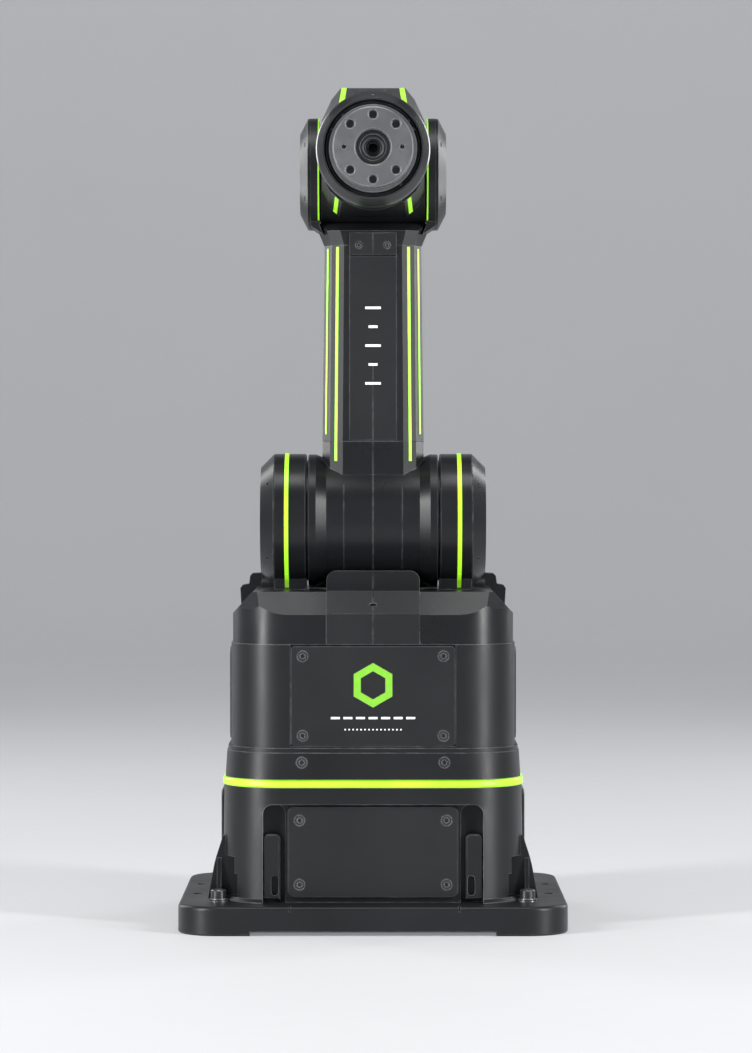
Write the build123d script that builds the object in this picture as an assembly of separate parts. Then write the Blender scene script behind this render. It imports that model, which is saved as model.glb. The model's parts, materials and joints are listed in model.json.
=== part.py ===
from build123d import *
import math
import os

# Desktop six-axis robot arm, millimetres.
# Origin: centre of the base plate's underside. +Z up, the tool flange faces -Y at rest.

# ---- driving dimensions -------------------------------------------------------------------
PLATE_W, PLATE_D, PLATE_H, PLATE_R = 255.0, 225.0, 19.0, 28.0
RELIEF_X, RELIEF_Y, RELIEF_H = 80.0, 66.0, 3.0        # shallow notches under the edges
RELIEF_IN = 22.0                                      # how far the notches reach inwards
BOLT_X, BOLT_Y, BOLT_HOLE_R = 101.5, 76.0, 3.3        # corner bolts between the ribs
MOUNT_X, MOUNT_Y, MOUNT_R = 117.0, 30.0, 3.3          # free M6 holes in the side flanges

HOUSE_W, HOUSE_D, HOUSE_TOP, HOUSE_R = 199.0, 185.0, 94.4, 42.0
HOUSE_DRAFT, HOUSE_WALL = 2.0, 6.5
FOOT_OUT, FOOT_H = 2.5, 2.5                           # flared foot around the housing
RECESS_X, RECESS_TOP = 72.0, 83.4                     # front recess with the cover and channels
CHANNEL_X0, CHANNEL_X1, CHANNEL_FLOOR = 57.4, 72.0, 80.5
COVER_BACK = 85.5
RIB_Y, RIB_T, RIB_TOP, RIB_LOW = 58.0, 3.8, 61.0, 46.0
WASHER_R, WASHER_H = 6.4, 1.6
PANEL_BACK = 89.5                                     # rear connector panel
INLET_X, DATA_X, PORT_Z = -20.0, 26.0, 57.0
INLET_W, INLET_H = 27.0, 20.0
WELL_X, WELL_Z, WELL_FLOOR, PIN_TIP = 10.5, 7.0, 80.0, 87.0
DATA_R, DATA_FACE, DATA_BORE_R, DATA_DEPTH = 9.0, 94.6, 6.0, 12.0
REDUCER_R, REDUCER_Z = 43.0, 61.0
LED_TOP = 99.6
RUN_GAP = 0.3                                         # running gap between moving bodies
SKIRT_Z0, SKIRT_TOP = LED_TOP + RUN_GAP, 120.3
TURRET_W, TURRET_D, TURRET_R = 187.5, 181.0, 38.0
BAND_Z0, BAND_Z1, DECK_Z = 188.0, 207.5, 222.0
BAND_W, BAND_D = TURRET_W - 2.1, TURRET_D - 2.1
CHAMFER_IN = 13.7                                     # the crown slopes in by this much
CROWN_CUT, DECK_CUT = 19.0, 3.0                       # its corner facets narrow towards the deck
WALL = 6.5
HUB_R, HUB_FLANGE_R = 33.0, 46.0
PANEL_X, PANEL_Z0, PANEL_Z1, PANEL_T = 53.7, 121.8, 187.0, 2.6
TONGUE_X, TONGUE_T = 30.5, 3.0
INK_PROUD = 0.12                                      # printed marks stand out this far

SHOULDER_Z = 268.0                                    # J2 axis
DRUM_R, DRUM_X0, DRUM_X1, DRUM_CAP = 44.8, 44.6, 66.0, 75.4
BARREL_R, BARREL_COLLAR_R, BARREL_X = 41.5, 44.5, 43.5
SPIGOT_R, SPIGOT_FIT = 20.0, 0.05                     # running spigots and their radial clearance
LABYRINTH_R, LABYRINTH_FIT = 40.5, 0.4                # barrel lip that hides the gap to the drum
SOCKET_X, LABYRINTH_X = 5.0, 1.4                      # depths of the spigot and lip pockets
PEDESTAL_Y, PEDESTAL_TOP = 22.0, 236.0
LED_X0, LED_X1, LED_DEEP = 56.4, 59.1, 2.2
SADDLE_X, SADDLE_FRONT, SADDLE_BACK, SADDLE_TOP = 31.0, -42.0, 42.0, 235.0
DUST_X, DUST_Y0, DUST_Y1, DUST_TOP = 44.0, 40.0, 47.0, 229.5   # wall behind the barrel
CHEEK_IN, CHEEK_OUT = 46.0, 76.0                      # rear cheeks beside the drums
WING_Y0, WING_Y1 = 40.0, 56.0

ARM_Z0, ARM_Z1 = 321.0, 452.0
ARM_SECTION = [(20.3, 28.0), (28.8, 22.5), (34.0, 12.0)]   # first quadrant of the 12-sided section
ARM_TAPER = 0.955                                     # section scale at the arm's top
BORE_LOW, BORE_HIGH = 0.84, 0.80                      # scale of the shell's bore
COVER_X, COVER_PROUD, COVER_DEEP = 15.8, 0.5, 2.0
COVER_Z1, CLIP_TOP = 445.0, 460.4
CLIP_Y, CLIP_Z, CLIP_T = 28.1, 452.0, 3.3

ELBOW_Z = 501.0                                       # J3 axis and wrist centre line
EAR_R, EAR_X0, EAR_X1, EAR_CAP = 37.65, 35.9, 41.9, 48.9
NECK_R, NECK_X = 34.5, 35.3
YOKE_CLEAR = 35.2
YOKE_SHOULDER, YOKE_TOP = 462.0, 467.5
YOKE_SECTION = [(22.0, 26.7), (30.8, 21.0), (36.6, 11.5)]
YOKE_TOP_SECTION = [(28.0, 14.0), (36.0, 12.0), (41.9, 9.0)]
PIVOT_R, EAR_LIP_R = 14.0, 32.0
EAR_LED_T, EAR_LED_DEEP = 1.0, 1.8

# forearm and wrist: distances along -Y from the elbow axis
HEAD_BACK, HEAD_REAR, HEAD_END = 1.0, 20.0, 98.0
HEAD_BACK_SECTION = [(20.0, 36.0), (27.0, 33.5), (33.5, 25.0), (33.5, -17.0), (29.5, -26.0), (22.5, -32.0)]
HEAD_REAR_SECTION = [(21.6, 56.4), (27.9, 48.5), (34.4, 34.5), (34.4, -15.0), (30.0, -23.5), (22.5, -29.4)]
HEAD_FRONT_SECTION = [(23.0, 37.6), (28.0, 31.0), (33.0, 18.0), (33.0, -9.0), (28.0, -18.0), (20.5, -24.6)]
TOP_X, TOP_OUT0, TOP_OUT1, TOP_DEEP = 13.0, 26.0, 92.0, 1.8
ROLL_MOTOR_R, ROLL_MOTOR_AT = 12.5, 41.0              # kept above the head's sloping underside
ROLL_GEAR_R, ROLL_GEAR_AT = 19.0, 74.0
ROLL_GAP = 0.4
TUBE_R, TUBE_END = 29.5, 134.0
PITCH_AT = 166.0                                      # J5 axis
PIN_R = 8.0
CHEEK_R, CHEEK_X0, CHEEK_X1 = 26.5, 19.3, 30.0
WRIST_NECK_R, WRIST_NECK_X = 24.0, 18.9
RING_R, RING_AT, RING_FRONT = 35.5, 199.0, 219.0
LIP_R = 31.4
BEZEL_AT, BEZEL_IN = 205.0, 29.2
HUB6_R = 15.0
FLANGE_R, FLANGE_AT, FLANGE_FACE = 25.0, 220.0, 230.0
FLANGE_BACK, FLANGE_RIM_R = 214.0, 27.2
FLANGE_PCD, FLANGE_TAP_R = 40.0, 2.5
TAP_DEPTH, TAP_SINK = 9.0, 0.8
PILOT_R, PILOT_H, PILOT_STEP_R, HOLLOW_R = 11.0, 4.0, 8.0, 5.75
DOWEL_AT, DOWEL_R, DOWEL_DEPTH = 18.0, 1.5, 5.0

M4_HEAD_R, M4_HEAD_H, M4_R = 3.5, 2.6, 2.0
M3_HEAD_R, M3_HEAD_H, M3_R = 2.3, 1.8, 1.25
M6_HEAD_R, M6_HEAD_H, M6_R = 5.0, 6.0, 3.0
SINK = 0.3                                            # screw heads sit this far below a surface
STRIP_W, STRIP_T, STRIP_PROUD = 2.0, 1.6, 0.35


# ---- plain helpers ------------------------------------------------------------------------
def block(x0, x1, y0, y1, z0, z1):
    return Pos((x0 + x1) / 2, (y0 + y1) / 2, (z0 + z1) / 2) * Box(x1 - x0, y1 - y0, z1 - z0)


def rod_z(r, z0, z1, x=0, y=0):
    return Pos(x, y, (z0 + z1) / 2) * Cylinder(r, z1 - z0)


def rod_x(r, x0, x1, z, y=0):
    return Pos((x0 + x1) / 2, y, z) * Rot(0, 90, 0) * Cylinder(r, abs(x1 - x0))


def rod_y(r, out0, out1, x=0, z=ELBOW_Z):
    """Cylinder along Y between two distances out from the elbow axis towards -Y."""
    return Pos(x, -(out0 + out1) / 2, z) * Rot(90, 0, 0) * Cylinder(r, out1 - out0)


def slab(w, d, r, z0, z1, y=0):
    return extrude(Plane.XY.offset(z0) * Pos(0, y) * RectangleRounded(w, d, r), z1 - z0)


def tapered_slab(lower, upper, z0, z1):
    """Loft between two rounded rectangles, each (width, depth, corner radius)."""
    faces = [(Plane.XY.offset(z) * RectangleRounded(*s)).face() for z, s in ((z0, lower), (z1, upper))]
    return loft(faces)


def prism_x(points, x0, x1):
    """Extrude a (y, z) outline between two X positions."""
    return extrude(Plane.YZ.offset(x0) * Polygon(*points, align=None), x1 - x0)


def prism_y(points, y0, y1):
    """Extrude an (x, z) outline between two Y positions."""
    return extrude(Plane.XZ.offset(-y1) * Polygon(*points, align=None), y1 - y0)


def turned_x(profile, z):
    """Revolve an (x, radius) outline about the X direction at height z."""
    plane = Plane(origin=(0, 0, z), x_dir=(1, 0, 0), z_dir=(0, -1, 0))
    return revolve(plane * Polygon(*profile, align=None), axis=Axis((0, 0, z), (1, 0, 0)))


def turned_y(profile):
    """Revolve an (out, radius) outline about the wrist centre line."""
    plane = Plane(origin=(0, 0, ELBOW_Z), x_dir=(0, -1, 0), z_dir=(-1, 0, 0))
    return revolve(plane * Polygon(*profile, align=None), axis=Axis((0, 0, ELBOW_Z), (0, 1, 0)))


def mirrored(shape):
    """The same shape on the other side of the X = 0 plane."""
    return mirror(shape, about=Plane.YZ)


def both_sides(shape):
    return [shape, mirrored(shape)]


def group(solids):
    return Compound(list(solids))


def screw(head_r, head_h, shank_r, shank_l):
    """Socket-head screw, head top at z = 0, shank towards -Z."""
    body = Pos(0, 0, -head_h / 2) * Cylinder(head_r, head_h)
    body += Pos(0, 0, -head_h - shank_l / 2) * Cylinder(shank_r, shank_l)
    socket = extrude(RegularPolygon(head_r * 0.52, 6), -head_h * 0.6)
    return body - socket


def screw_room(head_r, head_h, shank_r, shank_l):
    """Counterbore and hole that a sunk screw needs."""
    room = Pos(0, 0, (1.0 - head_h) / 2) * Cylinder(head_r + 0.35, head_h + 1.0)
    return room + Pos(0, 0, -head_h - shank_l / 2) * Cylinder(shank_r, shank_l)


def at_spots(shape, spots):
    """Copies of a +Z shape at (origin, outward direction) spots."""
    return [Plane(origin=o, z_dir=d).location * shape for o, d in spots]


def cut_all(host, tools):
    for tool in tools:
        host = host - tool
    return host


M4 = (M4_HEAD_R, M4_HEAD_H, M4_R, 6.0)
M4_SHORT = (M4_HEAD_R, M4_HEAD_H, M4_R, 3.4)
M3 = (M3_HEAD_R, M3_HEAD_H, M3_R, 4.0)
M3_CLIP = (M3_HEAD_R, M3_HEAD_H, M3_R, 3.0)
CORNERS = [(sx, sy) for sx in (-1, 1) for sy in (-1, 1)]


# ---- screw positions ----------------------------------------------------------------------
FRONT, REAR = (0, -1, 0), (0, 1, 0)
HOUSE_FRONT = HOUSE_D / 2
COVER_FRONT = HOUSE_FRONT - 3.5                       # the front cover lies in a recess
REAR_PANEL_Y = HOUSE_FRONT
SIDE_COVER_X = HOUSE_W / 2 + 1.2
BASE_FRONT_SPOTS = [((x, -COVER_FRONT + SINK, z), FRONT) for x in (-48, 48) for z in (31, 73)]
BASE_REAR_SPOTS = [((x, REAR_PANEL_Y - SINK, z), REAR) for x in (-54, 54) for z in (33, 81)]
BASE_SIDE_SPOTS = [((s * (SIDE_COVER_X - SINK), y, z), (s, 0, 0))
                   for s in (-1, 1) for y in (-36, 36) for z in (36, 82)]

TURRET_FRONT = TURRET_D / 2
TURRET_PANEL = TURRET_FRONT + 0.4
TURRET_SIDE_X = TURRET_W / 2 + 1.3
SKIRT_FRONT = 93.2
TURRET_FRONT_SPOTS = [((x, -TURRET_PANEL + SINK, z), FRONT) for x in (-46, 46) for z in (128.5, 180.5)]
TURRET_REAR_SPOTS = [((x, TURRET_PANEL - SINK, z), REAR) for x in (-46, 46) for z in (128.5, 180.5)]
SKIRT_SPOTS = [((x, -SKIRT_FRONT + SINK, 111.2), FRONT) for x in (-46.5, 46.5)]
TURRET_SIDE_SPOTS = [((s * (TURRET_SIDE_X - SINK), y, z), (s, 0, 0))
                     for s in (-1, 1) for y in (-34, 34) for z in (129, 178)]

ARM_CLIP_SPOTS = [((x, s * (CLIP_Y - SINK), CLIP_Z), (0, s, 0)) for x in (-9.5, 9.5) for s in (-1, 1)]


# ---- base ---------------------------------------------------------------------------------
def base_plate():
    plate = slab(PLATE_W, PLATE_D, PLATE_R, 0, PLATE_H)
    top = plate.edges().filter_by_position(Axis.Z, PLATE_H - 0.01, PLATE_H + 0.01)
    plate = fillet(top, 2.6)
    bottom = plate.edges().filter_by_position(Axis.Z, -0.01, 0.01)
    plate = chamfer(bottom, 1.0)
    for s in (-1, 1):
        front = Pos(0, s * (PLATE_D / 2), 0) * Box(2 * RELIEF_X, 2 * RELIEF_IN, 2 * RELIEF_H)
        side = Pos(s * (PLATE_W / 2), 0, 0) * Box(2 * RELIEF_IN, 2 * RELIEF_Y, 2 * RELIEF_H)
        plate = plate - front - side
    for sx, sy in CORNERS:
        plate -= rod_z(BOLT_HOLE_R, -1, PLATE_H + 1, sx * BOLT_X, sy * BOLT_Y)
        plate -= rod_z(MOUNT_R, -1, PLATE_H + 1, sx * MOUNT_X, sy * MOUNT_Y)
    for x in (-54.0, 56.0):                           # witness notches on the front edge
        edge = -PLATE_D / 2
        plate -= block(x - 0.5, x + 0.5, edge - 1, edge + 3.2, PLATE_H - 3.2, PLATE_H + 1)
    return plate


def corner_ribs():
    """Gussets at one corner: a side rib behind the bolt and a thin web facing it."""
    outline = [(86, PLATE_H), (109, PLATE_H), (108.5, 22), (104.8, 42), (103.5, 47),
               (99, RIB_TOP), (86, RIB_TOP)]
    side_rib = prism_y(outline, RIB_Y, RIB_Y + RIB_T)
    web_outline = [(RIB_Y, PLATE_H), (RIB_Y + 11, PLATE_H), (RIB_Y + 9.6, 24),
                   (RIB_Y + 4.6, RIB_LOW), (RIB_Y, RIB_LOW)]
    return side_rib + prism_x(web_outline, BOLT_X - 1.4, BOLT_X + 1.4)


def corner_pocket():
    """Stepped pocket in the housing's corner that clears the bolt head."""
    low = block(89.0, 110, RIB_Y + RIB_T, 86, PLATE_H + 2.6, 37)
    return low + block(91.0, 110, RIB_Y + RIB_T, 83, 36, 48)


def to_corner(shape, sx, sy):
    if sx < 0:
        shape = mirrored(shape)
    return mirror(shape, about=Plane.XZ) if sy < 0 else shape


def base_housing():
    upper = (HOUSE_W - HOUSE_DRAFT, HOUSE_D - HOUSE_DRAFT, HOUSE_R - HOUSE_DRAFT / 2)
    body = tapered_slab((HOUSE_W, HOUSE_D, HOUSE_R), upper, PLATE_H, HOUSE_TOP)
    foot_top = PLATE_H + FOOT_H
    foot = slab(HOUSE_W + 2 * FOOT_OUT, HOUSE_D + 2 * FOOT_OUT, HOUSE_R + FOOT_OUT, PLATE_H, foot_top)
    body += chamfer(foot.edges().filter_by_position(Axis.Z, foot_top - 0.1, foot_top + 0.1), FOOT_H - 0.3)
    for sx, sy in CORNERS:
        body -= to_corner(corner_pocket(), sx, sy)
        body += to_corner(corner_ribs(), sx, sy)
        body -= rod_z(WASHER_R + 0.5, PLATE_H - 1, PLATE_H + 12, sx * BOLT_X, sy * BOLT_Y)
    body -= slab(HOUSE_W - 2 * HOUSE_WALL, 158, 34, PLATE_H - 1, HOUSE_TOP - HOUSE_WALL, y=5)
    body -= rod_z(REDUCER_R, REDUCER_Z - 1, HOUSE_TOP + 1)
    recess = block(-RECESS_X, RECESS_X, -HOUSE_FRONT - 9, -COVER_BACK, 0, RECESS_TOP)
    body -= fillet(recess.edges().filter_by(Axis.Y).sort_by(Axis.Z)[-2:], 9)
    for side in both_sides(block(CHANNEL_X0, CHANNEL_X1, -HOUSE_FRONT - 9, -CHANNEL_FLOOR, 0, RECESS_TOP)):
        body -= fillet(side.edges().filter_by(Axis.Y).sort_by(Axis.Z)[-2:], 6.5)
    body -= block(-42, 42, -90, -70, 38, 66)          # window behind the front cover
    body -= block(-60, 60, PANEL_BACK, 110, 28, 86)   # seat of the rear panel
    body -= block(-50, 50, 80, 95, 36, 78)            # window behind the rear panel
    for side in both_sides(block(HOUSE_W / 2 - 2.8, HOUSE_W, -44, 44, 28, 90)):
        body -= side
    body = cut_all(body, at_spots(screw_room(*M4), BASE_FRONT_SPOTS + BASE_REAR_SPOTS))
    return cut_all(body, at_spots(screw_room(*M4_SHORT), BASE_SIDE_SPOTS))


def base_front_cover():
    cover = block(-56, 56, -COVER_FRONT, -COVER_BACK, 22, 82.5)
    cover = fillet(cover.edges().filter_by(Axis.Y), 5)
    cover = chamfer(cover.faces().sort_by(Axis.Y)[0].edges(), 0.9)
    cover -= block(-40, 40, -86.9, -85, 36, 68)       # relief behind the cover
    return cut_all(cover, at_spots(screw_room(*M4), BASE_FRONT_SPOTS))


def base_channel_blocks():
    outline = [(60.6, PLATE_H + 2.6), (71.8, PLATE_H + 2.6), (71.8, 64), (60.6, 64)]
    piece = prism_y(outline, -88.6, -CHANNEL_FLOOR)
    piece = fillet(piece.edges().filter_by(Axis.Y).sort_by(Axis.Z)[-2:], 3.4)
    piece = chamfer(piece.faces().sort_by(Axis.Y)[0].edges(), 0.8)
    slot = extrude(Plane.XZ.offset(84.6) * Pos(64.2, 30.5) * SlotOverall(13, 4.6, rotation=90), 6)
    return group(both_sides(piece - slot))


def base_side_covers():
    cover = block(HOUSE_W / 2 - 2.8, SIDE_COVER_X, -43.6, 43.6, 28.4, 89.6)
    cover = fillet(cover.edges().filter_by(Axis.X), 6)
    cover = chamfer(cover.faces().sort_by(Axis.X)[-1].edges(), 0.8)
    cover -= block(HOUSE_W / 2 - 0.2, SIDE_COVER_X + 1, -26, 26, 52, 66)
    right = cut_all(cover, at_spots(screw_room(*M4_SHORT), BASE_SIDE_SPOTS))
    return group(both_sides(right))


def base_rear_panel():
    panel = block(-59.7, 59.7, PANEL_BACK, REAR_PANEL_Y, 28.3, 85.7)
    panel = fillet(panel.edges().filter_by(Axis.Y), 4)
    panel = chamfer(panel.faces().sort_by(Axis.Y)[-1].edges(), 0.7)
    panel -= block(INLET_X - INLET_W / 2, INLET_X + INLET_W / 2, 80, 100,
                   PORT_Z - INLET_H / 2, PORT_Z + INLET_H / 2)
    panel -= rod_y(DATA_R, -100, -80, DATA_X, PORT_Z)
    return cut_all(panel, at_spots(screw_room(*M4), BASE_REAR_SPOTS))


def power_inlet():
    body = block(INLET_X - INLET_W / 2, INLET_X + INLET_W / 2, 74, 94,
                 PORT_Z - INLET_H / 2, PORT_Z + INLET_H / 2)
    body = fillet(body.edges().filter_by(Axis.Y), 2)
    well = block(INLET_X - WELL_X, INLET_X + WELL_X, WELL_FLOOR, 95, PORT_Z - WELL_Z, PORT_Z + WELL_Z)
    body -= fillet(well.edges().filter_by(Axis.Y).sort_by(Axis.Z)[-2:], 3)
    for dx, dz in ((-6.5, -2), (0, 3), (6.5, -2)):
        x, z = INLET_X + dx, PORT_Z + dz
        body += block(x - 1, x + 1, WELL_FLOOR - 1, PIN_TIP, z - 2, z + 2)
    return body


def data_socket():
    floor = DATA_FACE - DATA_DEPTH
    body = rod_y(DATA_R, -DATA_FACE, -76, DATA_X, PORT_Z)
    body += rod_y(DATA_R + 2, -DATA_FACE, -DATA_FACE + 2, DATA_X, PORT_Z)
    body -= rod_y(DATA_BORE_R, -DATA_FACE - 1, -floor, DATA_X, PORT_Z)
    for n in range(5):                                # contact holes in the socket's floor
        angle = math.radians(72 * n + 90)
        x, z = DATA_X + 3.4 * math.cos(angle), PORT_Z + 3.4 * math.sin(angle)
        body -= rod_y(0.6, -floor - 1, -floor + 3, x, z)
    return body


def corner_washers():
    ring = rod_z(WASHER_R, PLATE_H, PLATE_H + WASHER_H) - rod_z(M6_R + 0.2, 0, PLATE_H + 5)
    return group(Pos(sx * BOLT_X, sy * BOLT_Y) * ring for sx, sy in CORNERS)


def corner_bolts():
    bolt = screw(M6_HEAD_R, M6_HEAD_H, M6_R, PLATE_H - 4)
    bolt = chamfer(bolt.edges().filter_by_position(Axis.Z, -0.01, 0.01).sort_by(SortBy.LENGTH)[-1], 0.6)
    top = PLATE_H + WASHER_H + M6_HEAD_H
    return group(Pos(sx * BOLT_X, sy * BOLT_Y, top) * bolt for sx, sy in CORNERS)


def base_screws():
    return group(at_spots(screw(*M4), BASE_FRONT_SPOTS + BASE_REAR_SPOTS)
                 + at_spots(screw(*M4_SHORT), BASE_SIDE_SPOTS))


def base_led_ring():
    outer = slab(HOUSE_W - 0.6, HOUSE_D - 0.6, HOUSE_R - 1, HOUSE_TOP, LED_TOP)
    rim = outer.edges().filter_by_position(Axis.Z, HOUSE_TOP - 0.01, LED_TOP + 0.01)
    rim = rim.filter_by(lambda e: abs(e.bounding_box().min.Z - e.bounding_box().max.Z) < 0.01)
    outer = fillet(rim, 1.5)
    return outer - slab(HOUSE_W - 14, HOUSE_D - 14, HOUSE_R - 8, HOUSE_TOP - 1, LED_TOP + 1)


def j1_motor():
    body = rod_z(34, 24, 58) + rod_z(38, 58, REDUCER_Z)
    return body + block(-16, 16, -44, -33, 30, 48)


def j1_reducer():
    return rod_z(REDUCER_R, REDUCER_Z, HOUSE_TOP) + rod_z(REDUCER_R + 8, HOUSE_TOP, HOUSE_TOP + 3)


def controller_board():
    board = block(-60, 60, 50, 51.6, 24, 82)
    chips = [(-38, 66, 18, 18), (0, 60, 26, 20), (36, 66, 16, 24), (-30, 36, 30, 12), (24, 36, 40, 10)]
    for x, z, w, h in chips:
        board += block(x - w / 2, x + w / 2, 51.6, 57.5, z - h / 2, z + h / 2)
    return board


# ---- turret -------------------------------------------------------------------------------
def turret_skirt():
    body = tapered_slab((195.3, 186.4, 41), (193.0, 185.0, 40), SKIRT_Z0, SKIRT_TOP - 3)
    body += slab(191.5, 184.0, 39.5, SKIRT_TOP - 3, SKIRT_TOP)
    body -= slab(180, 172, 34, SKIRT_Z0 + 5, SKIRT_TOP + 1)
    body -= rod_z(HUB_R, SKIRT_Z0 - 1, SKIRT_Z0 + 6)
    return cut_all(body, at_spots(screw_room(*M4_SHORT), SKIRT_SPOTS))


def j1_output_hub():
    return rod_z(HUB_R, SKIRT_Z0 - 1.9, SKIRT_Z0 + 5) + rod_z(HUB_FLANGE_R, SKIRT_Z0 + 5, SKIRT_Z0 + 9)


def turret_housing():
    body = slab(TURRET_W, TURRET_D, TURRET_R, SKIRT_TOP, BAND_Z0)
    body -= slab(TURRET_W - 2 * WALL, TURRET_D - 2 * WALL, TURRET_R - 5, SKIRT_TOP - 1, BAND_Z0 + 1)
    for y0 in (-TURRET_FRONT - 1, TURRET_FRONT - PANEL_T):
        body -= block(-PANEL_X - 0.3, PANEL_X + 0.3, y0, y0 + PANEL_T + 1, PANEL_Z0 - 0.3, BAND_Z0 + 1)
    for side in both_sides(block(TURRET_W / 2 - 2, TURRET_W, -42, 42, 122.5, 185.5)):
        body -= side
    return cut_all(body, at_spots(screw_room(*M4_SHORT),
                                  TURRET_FRONT_SPOTS + TURRET_REAR_SPOTS + TURRET_SIDE_SPOTS))


def turret_panel(spots, toward):
    panel = block(-PANEL_X, PANEL_X, -TURRET_PANEL, -TURRET_FRONT + PANEL_T, PANEL_Z0, PANEL_Z1)
    panel = fillet(panel.edges().filter_by(Axis.Y), 2.5)
    panel = chamfer(panel.faces().sort_by(Axis.Y)[0].edges(), 0.4)
    if toward > 0:
        panel = mirror(panel, about=Plane.XZ)
    return cut_all(panel, at_spots(screw_room(*M4_SHORT), spots))


def turret_front_panel():
    return cut_all(turret_panel(TURRET_FRONT_SPOTS, -1), dash_row() + [emblem_ring()])


def turret_rear_cover():
    cover = turret_panel(TURRET_REAR_SPOTS, 1)
    for n in range(6):
        z = 140 + 5.2 * n
        cover -= block(-24, 24, TURRET_PANEL - 1.2, TURRET_PANEL + 1, z, z + 2.2)
    return cover


def turret_side_covers():
    cover = block(TURRET_W / 2 - 2, TURRET_SIDE_X, -41.6, 41.6, 123, 185)
    cover = fillet(cover.edges().filter_by(Axis.X), 7)
    cover = chamfer(cover.faces().sort_by(Axis.X)[-1].edges(), 0.8)
    right = cut_all(cover, at_spots(screw_room(*M4_SHORT), TURRET_SIDE_SPOTS))
    return group(both_sides(right))


def deck_outline(w, d, cut):
    a, b = w / 2, d / 2
    return Polygon((a - cut, -b), (a, -b + cut), (a, b - cut), (a - cut, b),
                   (-a + cut, b), (-a, b - cut), (-a, -b + cut), (-a + cut, -b), align=None)


def turret_cap():
    """Band and sloping crown that close the turret, slotted for the tongue cover."""
    front = -BAND_D / 2
    deck = (BAND_W - 2 * CHAMFER_IN, BAND_D - 2 * CHAMFER_IN)
    cap = slab(BAND_W, BAND_D, TURRET_R - 1, BAND_Z0, BAND_Z1)
    crown = loft([(Plane.XY.offset(BAND_Z1) * deck_outline(BAND_W, BAND_D, CROWN_CUT)).face(),
                  (Plane.XY.offset(DECK_Z) * deck_outline(*deck, DECK_CUT)).face()])
    cap += crown & slab(BAND_W, BAND_D, TURRET_R - 1, BAND_Z1, DECK_Z)
    cap -= slab(BAND_W - 16, BAND_D - 16, TURRET_R - 8, BAND_Z0 - 1, BAND_Z1 - 2)
    slot = TONGUE_X + RUN_GAP
    cap -= block(-slot, slot, front - 10, front + TONGUE_T, BAND_Z0 - 1, BAND_Z1)
    far = DECK_Z + 15
    groove = [(front - 1, BAND_Z1 - 1), (front + TONGUE_T, BAND_Z1 - 1),
              (front + TONGUE_T + CHAMFER_IN, DECK_Z - 2), (front + TONGUE_T + CHAMFER_IN, far),
              (front - 1, far)]
    cap -= prism_x(groove, -slot, slot)
    return cap - block(-slot, slot, front + CHAMFER_IN, SADDLE_FRONT, DECK_Z - 2, DECK_Z + 9)


def turret_tongue_cover():
    """Thin cover that runs up the band, over the chamfer and back to the saddle."""
    front = -BAND_D / 2
    outline = [(front - 0.5, BAND_Z0), (front + TONGUE_T, BAND_Z0), (front + TONGUE_T, BAND_Z1),
               (front + TONGUE_T + CHAMFER_IN, DECK_Z - 2), (SADDLE_FRONT, DECK_Z - 2),
               (SADDLE_FRONT, DECK_Z + 0.6), (front + CHAMFER_IN, DECK_Z + 0.6),
               (front - 0.5, BAND_Z1 + 0.6)]
    cover = prism_x(outline, -TONGUE_X, TONGUE_X)
    seam = 0.35                                       # half-width of the seam along the middle
    cover -= block(-seam, seam, -120, SADDLE_FRONT + 1, DECK_Z - 1, DECK_Z + 2)
    seam_outline = [(front - 1, BAND_Z0 - 1), (front + 0.3, BAND_Z0 - 1), (front + 0.3, BAND_Z1),
                    (front + 0.8 + CHAMFER_IN, DECK_Z), (front + CHAMFER_IN, DECK_Z + 4),
                    (front - 1, BAND_Z1 + 4)]
    cover -= prism_x(seam_outline, -seam, seam)
    latch_end = front + CHAMFER_IN / 2 + 0.6
    return cover - block(-2.2, 2.2, front - 2, latch_end, BAND_Z1 + 5.4, BAND_Z1 + 7.2)


def shoulder_saddle():
    """Cradle under the barrel with a low wall behind it."""
    body = block(-SADDLE_X, SADDLE_X, SADDLE_FRONT, SADDLE_BACK, DECK_Z, SADDLE_TOP)
    body = fillet(body.edges().filter_by(Axis.Y).sort_by(Axis.Z)[-2:], 6.5)
    body -= rod_x(BARREL_R + 1.2, -40, 40, SHOULDER_Z)
    body -= block(-0.35, 0.35, SADDLE_FRONT - 1, SADDLE_FRONT + 0.8, DECK_Z, SADDLE_TOP + 1)
    return body + block(-DUST_X, DUST_X, DUST_Y0, DUST_Y1, DECK_Z, DUST_TOP)


def crown_x(z):
    """Half-width of the turret's sloping crown at a height."""
    return BAND_W / 2 - CHAMFER_IN * (z - BAND_Z1) / (DECK_Z - BAND_Z1)


def turret_rear_cheeks():
    """Stepped faceted blocks beside and behind the shoulder drums."""
    outline = [(14, DECK_Z), (76, DECK_Z), (70, 232), (52, 238), (50, 236), (46, 229), (14, 226)]
    right = prism_x(outline, CHEEK_IN, CHEEK_OUT)
    right = chamfer(right.faces().sort_by(Axis.X)[-1].edges().sort_by(Axis.Z)[-3:], 2.0)
    wing = [(CHEEK_OUT - 3, DECK_Z), (crown_x(DECK_Z), DECK_Z), (crown_x(210), 210), (91, 221),
            (89.4, 223.2), (85, 224), (84.2, 229.5), (82.5, 231.2), (CHEEK_OUT - 3, 231.6)]
    right += prism_y(wing, WING_Y0, WING_Y1)
    right -= rod_x(DRUM_R, CHEEK_IN - 6, 95, SHOULDER_Z)
    right -= block(CHEEK_IN - 4, DRUM_X1 + 1, 12, 37, DECK_Z - 1, 240)
    return group(both_sides(max(right.solids(), key=lambda s: s.volume)))


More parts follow.
